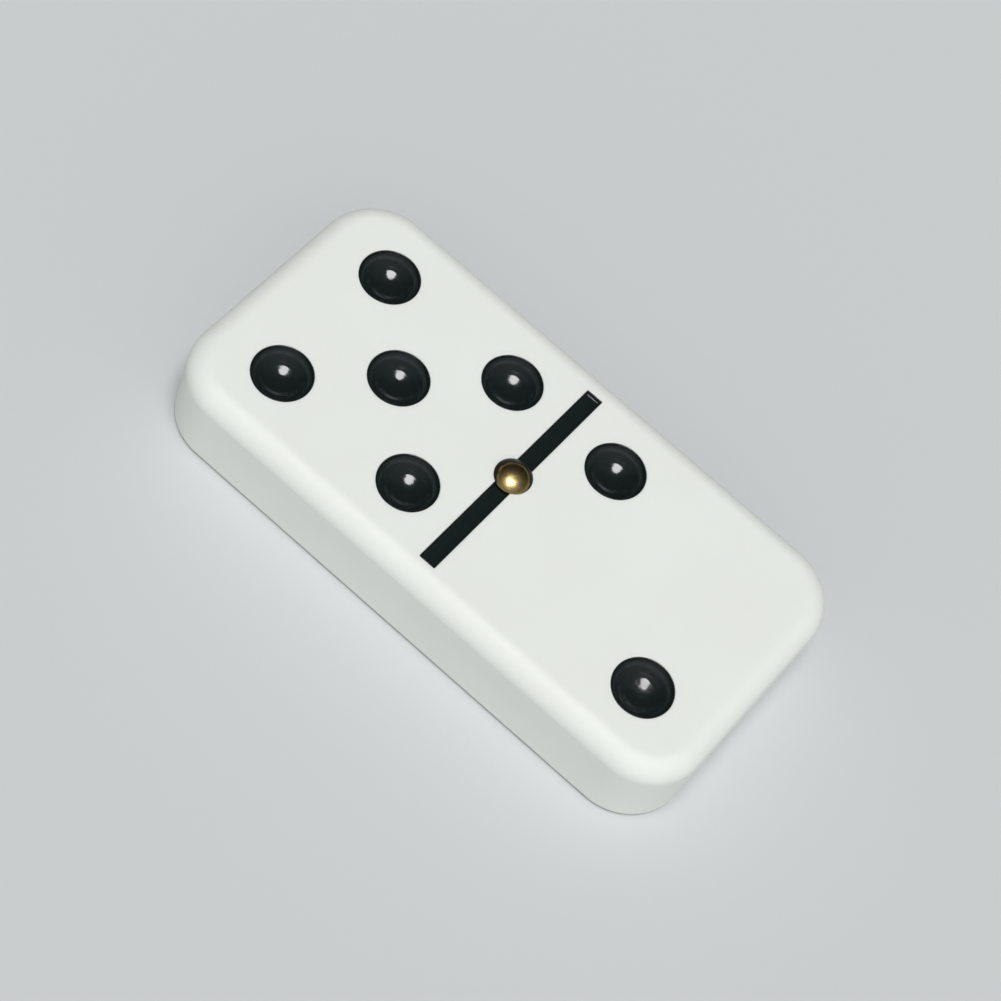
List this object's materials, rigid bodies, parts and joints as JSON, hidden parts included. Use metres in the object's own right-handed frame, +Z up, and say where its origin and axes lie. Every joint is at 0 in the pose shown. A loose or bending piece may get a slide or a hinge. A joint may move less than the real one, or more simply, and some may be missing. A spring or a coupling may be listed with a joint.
{
  "type": "domino tile",
  "caption": "White domino tile with rounded edges, black enamelled bowl-shaped pips at both ends, a black divider groove and a domed brass spinner pin.",
  "frame": {"origin": "middle of the flat underside, with the tile lying face up", "axes": "+X along the length towards the end with two pips, +Y across the width, +Z up out of the face"},
  "size_m": [0.05, 0.025, 0.0087],
  "materials": {
    "tile_plastic": "moulded and tumbled to a soft gloss, cool white",
    "pip_enamel": "glossy black enamel over the marks of the cutter",
    "divider_enamel": "glossy black enamel in a milled groove",
    "spinner_brass": "stamped and polished"
  },
  "bodies": {
    "root": {"tile_body": "tile_plastic", "spinner_pin": "spinner_brass", "five_pip_inner_left": "pip_enamel", "five_pip_inner_right": "pip_enamel", "five_pip_centre": "pip_enamel", "five_pip_outer_left": "pip_enamel", "five_pip_outer_right": "pip_enamel", "two_pip_inner": "pip_enamel", "two_pip_outer": "pip_enamel", "divider_enamel_left": "divider_enamel", "divider_enamel_right": "divider_enamel"}
  },
  "joints": []
}
